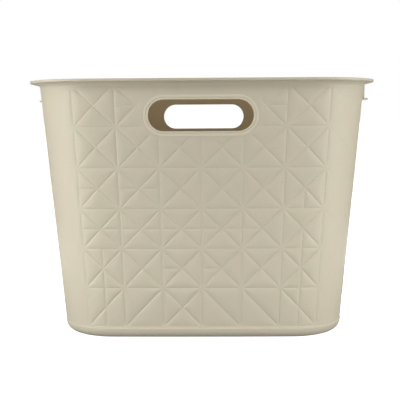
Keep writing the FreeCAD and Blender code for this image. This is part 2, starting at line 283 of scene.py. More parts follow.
class BasketStudio(bpy.types.PropertyGroup):
    """Lights and camera."""

    left_power: power("Left softbox", "Power of the softbox at the front left", 1.25)
    right_power: power("Right softbox", "Power of the softbox at the front right", 1.07)
    key_power: power("Key softboxes", "Power of each softbox above front and rear", 2.5)
    front_power: power("Front fill", "Power of the low light far in front", 1.2)
    rear_power: power("Rear fill", "Power of the low light far behind", 2.6)
    bounce_power: power("Floor bounce", "Power of each strip by the floor", 0.24)
    sky_light: number("Light from above", "Strength of the surroundings overhead", 0.28)
    ground_light: number("Light from below", "Strength of the surroundings underfoot", 0.14)
    mouth_scrim: colour("Mouth scrim", "Light that the net over the mouth lets through", "#cfbda5")
    slot_scrim: colour("Slot scrim", "Light that the nets in the slots let through", "#b39c82")
    lens: number(
        "Lens", "Focal length in millimetres on a 36 mm sensor", 70.2, "DISTANCE_CAMERA", "CAMERA")
    distance: length("Camera distance", "From the middle of the basket", 0.9709)
    eye_height: length("Eye height", "Height of the camera", 0.2427)
    eye_right: length("Eye offset", "Camera's place right of the middle", 0.0128)
    pan: angle("Pan", "Turn of the camera to the left", 0.017)
    tilt: angle("Tilt", "Tilt of the camera downwards", 0.1026)
    roll: angle("Roll", "Roll of the camera", 0.0059)


def plan(turn, height):
    """Points on the drafted outline and the outward directions there.

    turn counts emboss columns round the basket from the middle of the front, and height is above
    the floor; both are arrays. Each quarter of the outline is a shallow front arc, a corner arc
    and a shallow side arc, tangent to each other, and the other quarters mirror it.
    """
    form = bpy.context.scene.basket_form
    emboss = bpy.context.scene.basket_emboss
    turn, height = np.broadcast_arrays(np.asarray(turn, float), np.asarray(height, float))
    share = height / BASKET_HEIGHT
    lean = form.draft * (1 - share)
    half_x = form.half_length - lean
    half_y = form.half_depth - lean
    corner = form.base_corner + (form.top_corner - form.base_corner) * share
    front_centre = form.front_crown - half_y
    side_centre = form.side_crown - half_x
    # The corner arc's centre, found by stepping between the two tangency conditions.
    x = half_x - corner
    y = half_y - corner
    for _ in range(8):
        y = np.sqrt((form.front_crown - corner) ** 2 - x ** 2) - front_centre
        x = np.sqrt((form.side_crown - corner) ** 2 - y ** 2) - side_centre
    front_angle = np.arctan2(x, y + front_centre)
    side_angle = np.arctan2(y, x + side_centre)
    front_run = form.front_crown * front_angle
    corner_run = corner * (math.pi / 2 - front_angle - side_angle)
    quarter = front_run + corner_run + form.side_crown * side_angle

    around = (turn + REAR_MIDDLE) % COLUMNS - REAR_MIDDLE
    to_right = np.where(around < 0, -1.0, 1.0)
    across = np.abs(around)
    to_rear = np.where(across > SIDE_MIDDLE, 1.0, -1.0)
    across = np.where(across > SIDE_MIDDLE, REAR_MIDDLE - across, across)
    column = emboss.base_column + emboss.column_growth * height
    patterned = PATTERN_HALF * column
    beyond = (across - PATTERN_HALF) * (quarter - patterned) / (SIDE_MIDDLE - PATTERN_HALF)
    run = np.where(across <= PATTERN_HALF, across * column, patterned + beyond)

    front = run / form.front_crown
    bend = front_angle + (run - front_run) / corner
    side = (quarter - run) / form.side_crown
    stretch = [run < front_run, run < front_run + corner_run]
    point_x = np.select(stretch, [
        form.front_crown * np.sin(front), x + corner * np.sin(bend)],
        form.side_crown * np.cos(side) - side_centre)
    point_y = np.select(stretch, [
        form.front_crown * np.cos(front) - front_centre, y + corner * np.cos(bend)],
        form.side_crown * np.sin(side))
    out_x = np.select(stretch, [np.sin(front), np.sin(bend)], np.cos(side))
    out_y = np.select(stretch, [np.cos(front), np.cos(bend)], np.sin(side))
    points = np.stack([point_x * to_right, point_y * to_rear, height], -1)
    outward = np.stack([out_x * to_right, out_y * to_rear, np.zeros_like(out_x)], -1)
    return points, outward


def shell(turn, height, offset):
    """Points at a distance outwards from the drafted outline."""
    points, outward = plan(turn, height)
    return points + outward * np.asarray(offset, float)[..., None]


def smooth_step(values):
    """0 below 0, 1 above 1 and a smooth rise between them."""
    t = np.clip(values, 0, 1)
    return t * t * (3 - 2 * t)


def slot_middle():
    """Height of the hand slots' middle."""
    return (COLLAR_LOW.z + COLLAR_HIGH.z) / 2


def collar_radius():
    """Half the collar's height."""
    return (COLLAR_HIGH.z - COLLAR_LOW.z) / 2


def slot_path(along, around):
    """Spine points and directions round a slot: (x, z, out x, out z), anticlockwise."""
    straight = COLLAR_HIGH.x - collar_radius()
    rows = []
    for side in (1, -1):
        for angle in np.linspace(-90, 90, around + 1):
            turned = math.radians(angle if side > 0 else angle + 180)
            rows.append((side * straight, 0, math.cos(turned), math.sin(turned)))
        for share in np.linspace(1, -1, along + 1)[1:-1]:
            rows.append((side * share * straight, 0, 0, side))
    return np.array(rows)


def slot_outline(middle, path, away, proud):
    """Points round a slot, at a distance outside its edge and a distance out from the wall."""
    emboss = bpy.context.scene.basket_emboss
    spot = path[:, :2] + path[:, 2:] * (collar_radius() - COLLAR_WIDTH + away)
    height = slot_middle() + spot[:, 1]
    column = emboss.base_column + emboss.column_growth * height
    return shell(middle + spot[:, 0] / column, height, np.full(len(path), proud))


def from_collar(turn, height, open_above):
    """Distance along the wall from the nearer collar's outer edge, negative inside it.

    With open_above, everything over the slot counts as lying beside it.
    """
    emboss = bpy.context.scene.basket_emboss
    column = emboss.base_column + emboss.column_growth * height
    nearest = np.round(turn / REAR_MIDDLE) * REAR_MIDDLE
    along = np.abs(turn - nearest) * column
    straight = COLLAR_HIGH.x - collar_radius()
    aside = np.maximum(along - straight, 0)
    rise = height - slot_middle()
    if open_above:
        rise = np.minimum(rise, 0)
    return np.hypot(aside, rise) - collar_radius()


def pattern_share(turn):
    """Share of the pattern's depth: whole on the patterned walls and faint on the corners."""
    emboss = bpy.context.scene.basket_emboss
    from_long = PATTERN_HALF - np.abs((turn + REAR_MIDDLE / 2) % REAR_MIDDLE - REAR_MIDDLE / 2)
    from_short = SIDE_PATTERN_HALF - np.abs(turn % REAR_MIDDLE - SIDE_MIDDLE)
    inside = np.maximum(from_long, from_short)
    whole = smooth_step((inside + emboss.border_fade) / (2 * emboss.border_fade))
    return emboss.corner_share + (1 - emboss.corner_share) * whole


def cell_marks(column, row):
    """Marks of the cell at a column and a row, the lowest row being 0."""
    from_front = (column + PATTERN_HALF) % REAR_MIDDLE
    top_row = ROWS - 1 - row
    if from_front < 2 * PATTERN_HALF:
        return LONG_WALL_CELLS[top_row][from_front]
    from_side = from_front - 2 * PATTERN_HALF - CORNER_COLUMNS
    if 0 <= from_side < len(SHORT_WALL_CELLS[top_row]):
        return SHORT_WALL_CELLS[top_row][from_side]
    return "X"


def distance_to(groove, x, y, size):
    """Distance of points from one groove of a cell, all in shares of the cell's size."""
    x0, y0, x1, y1 = groove
    start = np.array([x0, y0]) * size
    step = np.array([x1 - x0, y1 - y0]) * size
    px = x * size[0] - start[0]
    py = y * size[1] - start[1]
    share = np.clip((px * step[0] + py * step[1]) / (step @ step), 0, 1)
    return np.hypot(px - share * step[0], py - share * step[1])


def emboss_cell(marks, size, x, y):
    """Depth of one cell's pattern below the triangles' tops."""
    emboss = bpy.context.scene.basket_emboss
    grooves = list(CELL_BORDER)
    for mark in marks:
        grooves.extend(GROOVES[mark])
    nearness = 0
    for groove in grooves:
        level = groove[1] == groove[3]
        shift = emboss.level_rise if level else LEAST_DISTANCE
        nearness = nearness + (distance_to(groove, x, y, size) + shift) ** -GROOVE_BLEND
    nearest = nearness ** (-1 / GROOVE_BLEND)
    rise = np.clip(nearest / emboss.pillow, 0, 1)
    node = np.hypot(np.minimum(x, 1 - x) * size[0], np.minimum(y, 1 - y) * size[1])
    star = smooth_step(1 - node / emboss.node_radius)
    rise = rise * (1 - star) + STAR_RISE * star
    crease = np.clip(1 - nearest / emboss.crease_width, 0, 1) * (1 - star)
    return emboss.depth * (1 - rise) ** emboss.pillow_power + emboss.crease * crease


def wall_depths(turns, heights):
    """Depth of the emboss at each point of a grid of turns and heights."""
    emboss = bpy.context.scene.basket_emboss
    grid_turn, grid_height = np.meshgrid(turns, heights)
    depth = np.zeros_like(grid_turn)
    size = np.array([emboss.base_column + emboss.column_growth * BASKET_HEIGHT / 2,
                     emboss.row_height])
    row_places = np.clip((grid_height - emboss.first_row) / emboss.row_height, 0, ROWS)
    for column in range(COLUMNS):
        for row in range(ROWS):
            columns = slice(column * emboss.steps, (column + 1) * emboss.steps + 1)
            # A hundredth of a row to spare takes in the row lines themselves.
            inside = heights >= emboss.first_row + (row - 0.01) * emboss.row_height
            inside &= heights <= emboss.first_row + (row + 1.01) * emboss.row_height
            rows = np.flatnonzero(inside)
            if not len(rows):
                continue
            part = (slice(rows[0], rows[-1] + 1), columns)
            x = grid_turn[part] - column
            y = np.clip(row_places[part] - row, 0, 1)
            cell = emboss_cell(cell_marks(column, row), size, x, y)
            depth[part] = np.maximum(depth[part], cell)
    depth *= pattern_share(grid_turn)
    clear_of_slot = smooth_step(from_collar(grid_turn, grid_height, True) / SLOT_FADE)
    below_rim = smooth_step((WALL_HIGH.z - RIM_PLAIN - grid_height) / RIM_FADE)
    above_base = smooth_step((grid_height - emboss.first_row) / BASE_FADE)
    return depth * clear_of_slot * below_rim * (BASE_SHARE + (1 - BASE_SHARE) * above_base)


def grid_normals(points):
    """Outward unit normals of a grid of points that closes on itself along its second axis."""
    around = np.roll(points, -1, 1) - np.roll(points, 1, 1)
    upward = np.gradient(points, axis=0)
    normals = np.cross(around, upward)
    return normals / np.linalg.norm(normals, axis=-1, keepdims=True)


def zip_strips(first, second, closed):
    """Triangles between two rows of vertices that run the same way, whatever their counts."""
    if closed:
        first = list(first) + [first[0]]
        second = list(second) + [second[0]]
    faces = []
    i = 0
    j = 0
    while i < len(first) - 1 or j < len(second) - 1:
        ahead = (i + 1) / max(len(first) - 1, 1)
        level = (j + 1) / max(len(second) - 1, 1)
        if j == len(second) - 1 or (i < len(first) - 1 and ahead <= level):
            faces.append((first[i], first[i + 1], second[j]))
            i += 1
        else:
            faces.append((first[i], second[j + 1], second[j]))
            j += 1
    return faces


def add_piece(name, points, faces, nodes, slot, sharp=35.0):
    """A smooth-shaded mesh piece that rides on the basket and stands for CAD nodes."""
    mesh = bpy.data.meshes.new(name)
    mesh.from_pydata([tuple(p) for p in points], [], faces)
    mesh.validate()
    mesh.materials.append(material_for(slot))
    mesh.polygons.foreach_set("use_smooth", [True] * len(mesh.polygons))
    mesh.set_sharp_from_angle(angle=math.radians(sharp))
    mesh.update()
    piece = bpy.data.objects.new(name, mesh)
    bpy.context.scene.collection.objects.link(piece)
    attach(piece, "root")
    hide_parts(*nodes)
    return piece


def ring_faces(rings, around, closed_profile=True):
    """Quads between the rings of a swept profile; each ring has as many vertices as around."""
    faces = []
    last = rings if closed_profile else rings - 1
    for ring in range(last):
        here = ring * around
        there = (ring + 1) % rings * around
        for i in range(around):
            k = (i + 1) % around
            faces.append((here + i, here + k, there + k, there + i))
    return faces


def arc(centre, radius, start, end, steps):
    """Points of an arc in the section plane, from start to end in degrees."""
    angles = np.radians(np.linspace(start, end, steps + 1))
    return [(centre[0] + radius * math.cos(a), centre[1] + radius * math.sin(a)) for a in angles]


def sweep_section(section):
    """Vertices and faces of a closed section swept round the plan outline.

    The section's points are (distance outwards, height) and run anticlockwise as seen with the
    outside to the right.
    """
    turns = np.arange(SWEEP_STEPS) * COLUMNS / SWEEP_STEPS
    points = []
    for offset, height in section:
        points.append(shell(turns, np.full(SWEEP_STEPS, height), np.full(SWEEP_STEPS, offset)))
    return np.concatenate(points), ring_faces(len(section), SWEEP_STEPS)


# Materials ------------------------------------------------------------------------------------


def add_node(tree, kind, settings, links):
    """A shader node with its settings and its incoming links.

    A setting's key is an input's name or number, or else the name of a property of the node. A
    mix of colours goes by numbers: input 0 is the share, 6 and 7 the colours, output 2 the mix.
    """
    node = tree.nodes.new(kind)
    for key, value in settings.items():
        if isinstance(key, int) or key in node.inputs:
            node.inputs[key].default_value = value
        else:
            setattr(node, key, value)
    for key, output in links.items():
        tree.links.new(output, node.inputs[key])
    return node


def moulded_polypropylene(name, tint, grain_depth, mottle):
    """Injection-moulded polypropylene with recycled fibre in it.

    The mould is spark eroded, which leaves a fine matt grain, so highlights are broad and soft.
    The melt cools unevenly, which gives the beige faint warmer and cooler clouds, and bits of
    fibre show as small pale and dark flecks.
    """
    finish = bpy.context.scene.basket_finish
    material = bpy.data.materials.new(name)
    material.use_nodes = True
    tree = material.node_tree
    tree.nodes.clear()
    place = add_node(tree, "ShaderNodeTexCoord", {}, {}).outputs["Object"]

    # Clouds about 20 mm wide shift the tint between cool and warm.
    clouds = add_node(
        tree, "ShaderNodeTexNoise", {"Scale": 1 / (20 * MM), "Detail": 4.0, "Roughness": 0.65},
        {"Vector": place})
    cool = tuple(c * k for c, k in zip(tint, (0.98, 1.0, 0.975))) + (1,)
    warm = tuple(c * k for c, k in zip(tint, (1.015, 0.992, 0.99))) + (1,)
    shift = add_node(
        tree, "ShaderNodeMapRange", {"From Min": 0.36, "From Max": 0.64},
        {"Value": clouds.outputs["Fac"]})
    base = add_node(
        tree, "ShaderNodeMix", {"data_type": "RGBA", 6: cool, 7: warm},
        {0: shift.outputs["Result"]})

    # Flecks of fibre about 1.6 mm across, far apart.
    flecks = add_node(
        tree, "ShaderNodeTexNoise", {"Scale": 1 / (1.6 * MM), "Detail": 2.0, "Roughness": 0.5},
        {"Vector": place})
    dark_fleck = add_node(
        tree, "ShaderNodeMapRange",
        {"From Min": 0.34, "From Max": 0.26, "To Min": 0.0, "To Max": mottle},
        {"Value": flecks.outputs["Fac"]})
    pale_fleck = add_node(
        tree, "ShaderNodeMapRange",
        {"From Min": 0.66, "From Max": 0.74, "To Min": 0.0, "To Max": mottle},
        {"Value": flecks.outputs["Fac"]})
    dark = tuple(c * 0.62 for c in tint) + (1,)
    pale = tuple(min(c * 1.25, 1) for c in tint) + (1,)
    darkened = add_node(
        tree, "ShaderNodeMix", {"data_type": "RGBA", 7: dark},
        {0: dark_fleck.outputs["Result"], 6: base.outputs[2]})
    flecked = add_node(
        tree, "ShaderNodeMix", {"data_type": "RGBA", 7: pale},
        {0: pale_fleck.outputs["Result"], 6: darkened.outputs[2]})

    # The eroded grain is about 0.4 mm wide, too fine to show, and is drawn 1.1 mm wide.
    grain = add_node(
        tree, "ShaderNodeTexNoise", {"Scale": 1 / (1.1 * MM), "Detail": 2.0, "Roughness": 0.55},
        {"Vector": place})
    relief = add_node(
        tree, "ShaderNodeBump", {"Strength": 1.0, "Distance": grain_depth},
        {"Height": grain.outputs["Fac"]})
    polish = add_node(
        tree, "ShaderNodeMapRange",
        {"From Min": 0.3, "From Max": 0.7, "To Min": finish.roughness - 0.05,
         "To Max": finish.roughness + 0.07},
        {"Value": clouds.outputs["Fac"]})
    shader = add_node(
        tree, "ShaderNodeBsdfPrincipled",
        {"IOR": 1.49, "Metallic": 0.0, "Subsurface Weight": 0.02, "Subsurface Scale": 2.5 * MM,
         "Subsurface Radius": (1.0, 0.8, 0.6)},
        {"Base Color": flecked.outputs[2], "Roughness": polish.outputs["Result"],
         "Normal": relief.outputs["Normal"]})
    add_node(tree, "ShaderNodeOutputMaterial", {}, {"Surface": shader.outputs["BSDF"]})
    return material


def material_for(slot):
    """The basket's material for a slot of the record, made once."""
    finish = bpy.context.scene.basket_finish
    made = {
        "embossed_plastic": ("embossed moulded polypropylene", finish.wall, 0.05 * MM, 0.4),
        "smooth_plastic": ("smooth moulded polypropylene", finish.smooth, 0.025 * MM, 0.25),
        "collar_plastic": ("satin moulded polypropylene", finish.collar, 0.02 * MM, 0.2),
    }
    name, tint, grain_depth, mottle = made[slot]
    found = bpy.data.materials.get(name)
    return found or moulded_polypropylene(name, tuple(tint), grain_depth, mottle)


# Pieces ---------------------------------------------------------------------------------------


def boundary_loops(faces):
    """The open edges of a set of faces, chained into closed loops of vertices."""
    edges = {}
    for face in faces:
        for a, b in zip(face, face[1:] + face[:1]):
            edges[(a, b)] = True
    chain = {a: b for a, b in edges if (b, a) not in edges}
    loops = []
    while chain:
        start, here = next(iter(chain.items()))
        loop = [start]
        del chain[start]
        while here != start:
            loop.append(here)
            here = chain.pop(here)
        loops.append(loop)
    return loops


def snap_to_slot(loop, points, turn, height, offset, inset):
    """Moves a loop of grid vertices onto an edge inset from the collar's, and orders it."""
    emboss = bpy.context.scene.basket_emboss
    middle = slot_middle()
    edge = collar_radius() - inset
    straight = COLLAR_HIGH.x - collar_radius()
    wall_middle = round(turn[loop[0]] / REAR_MIDDLE) * REAR_MIDDLE
    angles = []
    for vertex in loop:
        column = emboss.base_column + emboss.column_growth * height[vertex]
        along = (turn[vertex] - wall_middle) * column
        spine = min(max(along, -straight), straight)
        direction = np.array([along - spine, height[vertex] - middle])
        direction = direction / max(np.linalg.norm(direction), 1e-9)
        place = np.array([spine, middle]) + direction * edge
        column = emboss.base_column + emboss.column_growth * place[1]
        points[vertex] = shell(wall_middle + place[0] / column, place[1], offset)
        angles.append(math.atan2(place[1] - middle, place[0]))
    first = int(np.argmin(np.abs(angles)))
    return loop[first:] + loop[:first]


def wall_skin(turns, heights, offsets, edge_offset, inset):
    """Vertices, faces and slot edge of one skin of a wall.

    offsets holds each grid point's distance outwards from the drafted outline, and edge_offset
    that of the slot's edge. The slot is cut out along a line inset from the collar's outer edge.
    """
    grid_turn, grid_height = np.meshgrid(turns, heights)
    points = shell(grid_turn, grid_height, offsets).reshape(-1, 3)
    turn = grid_turn.ravel()
    height = grid_height.ravel()
    inside_slot = from_collar(grid_turn, grid_height, False) < -inset
    rows, columns = grid_turn.shape
    rising = offsets[:-1, :-1] + offsets[1:, 1:]
    falling = offsets[:-1, 1:] + offsets[1:, :-1]
    fall = falling - rising
    faces = []
    for row in range(rows - 1):
        for column in range(columns - 1):
            if inside_slot[row:row + 2, column:column + 2].any():
                continue
            a = row * columns + column
            b, c, d = a + 1, a + columns + 1, a + columns
            # A square that a groove crosses is split along the groove.
            if fall[row, column] > SPLIT_FALL:
                faces += [(a, b, c), (a, c, d)]
            elif fall[row, column] < -SPLIT_FALL:
                faces += [(a, b, d), (b, c, d)]
            else:
                faces.append((a, b, c, d))
    # The longest loop is the skin's own edge, and a second one is the slot's.
    loops = sorted(boundary_loops(faces), key=len, reverse=True)
    slot_loop = None
    if len(loops) > 1:
        slot_loop = snap_to_slot(loops[1], points, turn, height, edge_offset, inset)
    return points, faces, slot_loop


def make_wall(name, low, high, turns, heights, depths, normals):
    """One wall piece: an embossed outer skin, a plain inner skin and the edges that join them."""
    form = bpy.context.scene.basket_form
    steps = bpy.context.scene.basket_emboss.steps
    first = round(low * steps)
    count = round((high - low) * steps) + 1
    picked = np.arange(first, first + count) % len(turns)
    outer_turns = low + np.arange(count) / steps
    outer, outer_faces, outer_slot = wall_skin(
        outer_turns, heights, -depths[:, picked], 0.0, COLLAR_WIDTH / 2)

    inner_turns = outer_turns[::INNER_STRIDE]
    inner_rows = np.append(np.arange(0, len(heights), INNER_STRIDE), len(heights) - 1)
    inner_heights = heights[np.unique(inner_rows)]
    inner_offsets = np.full((len(inner_heights), len(inner_turns)), -form.thickness)
    inner, inner_faces, inner_slot = wall_skin(
        inner_turns, inner_heights, inner_offsets, -form.thickness, COLLAR_WIDTH - BARE_STRIP)

    base = len(outer)
    faces = list(outer_faces)
    faces += [tuple(base + v for v in reversed(face)) for face in inner_faces]
    outer_index = np.arange(base).reshape(len(heights), count)
    inner_index = base + np.arange(len(inner)).reshape(len(inner_heights), len(inner_turns))
    rims = (
        (inner_index[0], outer_index[0]),
        (outer_index[-1], inner_index[-1]),
        (outer_index[:, 0], inner_index[:, 0]),
        (inner_index[:, -1], outer_index[:, -1]),
    )
    for one, other in rims:
        faces += zip_strips([int(v) for v in one], [int(v) for v in other], False)
    if outer_slot:
        faces += zip_strips([base + v for v in inner_slot], outer_slot, True)
    piece = add_piece(
        name, np.concatenate([outer, inner]), faces, [name], "embossed_plastic")
    soften_joins(piece, len(outer_faces), normals[:, picked].reshape(-1, 3))


def soften_joins(piece, outer_count, normals):
    """Gives the outer skin the whole basket's normals, so that no seam shows between walls.

    Where a face turns away from them by more than a few degrees, as beside the bottom of a
    groove, it keeps its own normal, so that the groove stays crisp.
    """
    mesh = piece.data
    vertices = np.empty(len(mesh.loops), int)
    mesh.loops.foreach_get("vertex_index", vertices)
    totals = np.empty(len(mesh.polygons), int)
    mesh.polygons.foreach_get("loop_total", totals)
    face_normals = np.empty(len(mesh.polygons) * 3)
    mesh.polygons.foreach_get("normal", face_normals)
    face_normals = np.repeat(face_normals.reshape(-1, 3), totals, axis=0)
    outer_loops = int(totals[:outer_count].sum())
    custom = np.zeros((len(mesh.loops), 3))
    smooth = normals[vertices[:outer_loops]]
    own = face_normals[:outer_loops]
    turned = (smooth * own).sum(1) < math.cos(math.radians(CRISP_ANGLE))
    custom[:outer_loops] = np.where(turned[:, None], own, smooth)
    mesh.normals_split_custom_set([tuple(n) for n in custom])


class BASKET_OT_walls(bpy.types.Operator):
    """Build the four walls and the four corner walls with their embossed pattern"""

    bl_idname = "basket.walls"
    bl_label = "Embossed walls"

    def execute(self, context):
        emboss = context.scene.basket_emboss
        turns = np.arange(COLUMNS * emboss.steps) / emboss.steps
        rows = np.arange(ROWS * emboss.steps + 1) * emboss.row_height / emboss.steps
        cells = emboss.first_row + rows
        # The last row of the grid keeps clear of the wall's upper edge.
        least_gap = 0.3 * MM
        cells = cells[cells < WALL_HIGH.z - least_gap]
        below = [WALL_LOW.z, (WALL_LOW.z + emboss.first_row) / 2]
        heights = np.concatenate([below, cells, [WALL_HIGH.z]])
        closed = np.append(turns, COLUMNS)
        depths = wall_depths(closed, heights)[:, :-1]
        grid_turn, grid_height = np.meshgrid(turns, heights)
        normals = grid_normals(shell(grid_turn, grid_height, -depths))
        for name, low, high in WALL_SPANS:
            make_wall(name, low, high, turns, heights, depths, normals)
        return {"FINISHED"}


class BASKET_OT_rim(bpy.types.Operator):
    """Build the flange with its rounded lip, its cove and the top of the wall"""

    bl_idname = "basket.rim"
    bl_label = "Rim"

    def execute(self, context):
        form = context.scene.basket_form
        top = RIM_HIGH.z
        under = top - FLANGE
        lip = form.lip_radius
        reach = form.cove_reach
        drop = form.cove_drop
        edge = OVERHANG - lip
        inner_lip = 0.7 * MM
        section = [(0.0, RIM_LOW.z)]
        for x, y in arc((0, 0), 1, 180, 90, 10):
            section.append((reach * (1 + x), under - drop * (1 - y)))
        section += arc((edge, under + lip), lip, -90, 0, 6)
        section += arc((edge, top - lip), lip, 0, 90, 6)
        section += arc((inner_lip - form.thickness, top - inner_lip), inner_lip, 90, 180, 4)
        section += [(-form.thickness, RIM_LOW.z)]
        points, faces = sweep_section(section)
        add_piece("top_rim", points, faces, ["top_rim"], "smooth_plastic")
        return {"FINISHED"}


class BASKET_OT_base(bpy.types.Operator):
    """Build the smooth band round the base, its foot ring and the floor plate"""

    bl_idname = "basket.base"
    bl_label = "Base band and floor"

    def execute(self, context):
        form = context.scene.basket_form
        top = BAND_HIGH.z
        foot = form.foot_radius
        floor_top = FLOOR_HIGH.z
        inner = foot - form.thickness
        foot_width = BAND_HIGH.x - FLOOR_HIGH.x
        bead = form.ledge
        foot_edge = 0.6 * MM
        tuck = 0.6 * MM
        # The band's top runs in under the wall. Under its bead it curves in, ever faster, to the
        # foot ring.
        section = [(-tuck, top)]
        section += arc((0.0, top - bead), bead, 90, 0, 4)
        for x, y in arc((0, 0), 1, -6, -90, 14):
            out = max(x, 0) ** BAND_FULLNESS
            up = 1 - (-y) ** BAND_FULLNESS
            section.append((-foot + (foot + bead) * out, (top - bead) * up))
        section += arc((-foot_width + foot_edge, foot_edge), foot_edge, -90, -180, 3)
        section += [(-foot_width, FLOOR_LOW.z), (-foot_width, floor_top)]
        section += arc((-foot, floor_top + inner), inner, -90, 0, 10)
        section += [(-form.thickness, top)]
        points, faces = sweep_section(section)
        faces = [tuple(reversed(face)) for face in faces]
        add_piece("base_band", points, faces, ["base_band"], "smooth_plastic")
        self.make_floor(foot_width)
        return {"FINISHED"}

    def make_floor(self, foot_width):
        """The floor plate, with the small dimple that the mould's gate leaves under it."""
        turns = np.arange(FLOOR_STEPS) * COLUMNS / FLOOR_STEPS
        height = np.full(FLOOR_STEPS, BAND_HIGH.z)
        outline = shell(turns, height, np.full(FLOOR_STEPS, -foot_width))
        # From the middle of the upper face out to its edge, then back in along the lower face.
        levels = ((FLOOR_HIGH.z, 0.0, FLOOR_RINGS[::-1]), (FLOOR_LOW.z, GATE_DIMPLE, FLOOR_RINGS))
        rings = []
        for level, dimple, shares in levels:
            for share in shares:
                ring = outline * [share, share, 0]
                ring[:, 2] = level + (dimple if share == FLOOR_RINGS[-1] else 0.0)
                rings.append(ring)
        faces = ring_faces(len(rings), FLOOR_STEPS, closed_profile=False)
        faces = [tuple(reversed(face)) for face in faces]
        vertices = np.concatenate(rings)
        top_middle = len(vertices)
        low_middle = top_middle + 1
        vertices = np.concatenate([
            vertices, [[0, 0, FLOOR_HIGH.z], [0, 0, FLOOR_LOW.z + GATE_DIMPLE]]])
        last = (len(rings) - 1) * FLOOR_STEPS
        for i in range(FLOOR_STEPS):
            k = (i + 1) % FLOOR_STEPS
            faces.append((i, k, top_middle))
            faces.append((last + k, last + i, low_middle))
        add_piece("floor_panel", vertices, faces, ["floor_panel"], "smooth_plastic")


class BASKET_OT_collars(bpy.types.Operator):
    """Build the raised collars that line the two hand slots"""

    bl_idname = "basket.collars"
    bl_label = "Slot collars"

    def execute(self, context):
        form = context.scene.basket_form
        # The collar's back lies just under the wall's inner skin.
        back_cover = 0.3 * MM
        back = -form.thickness + back_cover
        lip = form.collar_lip
        ledge = form.collar_ledge
        edge = 0.45 * MM
        ledge_edge = 0.25 * MM
        back_edge = 0.55 * MM
        groove_width = 0.6 * MM
        groove = lip + groove_width
        # The section's points are (distance from the slot's edge, distance from the wall's face):
        # a rounded lip along the slot, a fine groove beside it and a flat ledge outside that.
        section = arc((edge, COLLAR_PROUD - edge), edge, 180, 90, 5)
        section += arc((lip - edge, COLLAR_PROUD - edge), edge, 90, 0, 5)
        section += [(lip, 0.0), (groove, 0.0)]
        section += arc((groove + ledge_edge, ledge - ledge_edge), ledge_edge, 180, 90, 3)
        section += arc((COLLAR_WIDTH - edge, ledge - edge), edge, 90, 0, 5)
        section += arc((COLLAR_WIDTH - back_edge, back + back_edge), back_edge, 0, -90, 4)
        section += arc((back_edge, back + back_edge), back_edge, -90, -180, 4)
        path = slot_path(along=40, around=24)
        for name, middle in SLOTS:
            node = name + "_handle_collar"
            rings = [slot_outline(middle, path, away, proud) for away, proud in section]
            faces = ring_faces(len(section), len(path))
            faces = [tuple(reversed(face)) for face in faces]
            add_piece(node, np.concatenate(rings), faces, [node], "collar_plastic")
        return {"FINISHED"}


class BASKET_OT_stops(bpy.types.Operator):
    """Build the small lugs under the rim that keep nested baskets apart"""

    bl_idname = "basket.stops"
    bl_label = "Nesting stops"

    def execute(self, context):
        for name in ("left_nesting_stops", "right_nesting_stops"):
            self.make_pair(name)
        return {"FINISHED"}

    def make_pair(self, name):
        """Two lugs, each a thin rib with a wider foot, with rounded edges."""
        low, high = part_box(name)
        outer = max(abs(low.x), abs(high.x))
        sign = 1 if high.x > 0 else -1
        foot_width = 8 * MM
        foot_height = 2 * MM
        foot_depth = 9.5 * MM
        rib_width = 2.4 * MM
        rib_setback = 3.2 * MM
        root = outer - foot_depth
        rib_face = outer - rib_setback
        rib_top = RIM_HIGH.z - FLANGE
        pieces = []
        for middle in (low.y + foot_width / 2, high.y - foot_width / 2):
            pieces.append(((root, outer), (middle - foot_width / 2, middle + foot_width / 2),
                           (low.z, low.z + foot_height)))
            pieces.append(((root, rib_face), (middle - rib_width / 2, middle + rib_width / 2),
                           (low.z + foot_height, rib_top)))
        points = []
        faces = []
        for (x0, x1), (y0, y1), (z0, z1) in pieces:
            start = len(points)
            for x in (x0, x1):
                for y in (y0, y1):
                    for z in (z0, z1):
                        points.append((sign * x, y, z))
            quads = ((0, 1, 3, 2), (4, 6, 7, 5), (0, 4, 5, 1), (2, 3, 7, 6), (0, 2, 6, 4),
                     (1, 5, 7, 3))
            for quad in quads:
                face = tuple(start + v for v in quad)
                faces.append(face if sign > 0 else tuple(reversed(face)))
        piece = add_piece(name, points, faces, [name], "smooth_plastic", sharp=80.0)
        bevel = piece.modifiers.new("moulded edges", "BEVEL")
        bevel.width = 0.5 * MM
        bevel.segments = 3


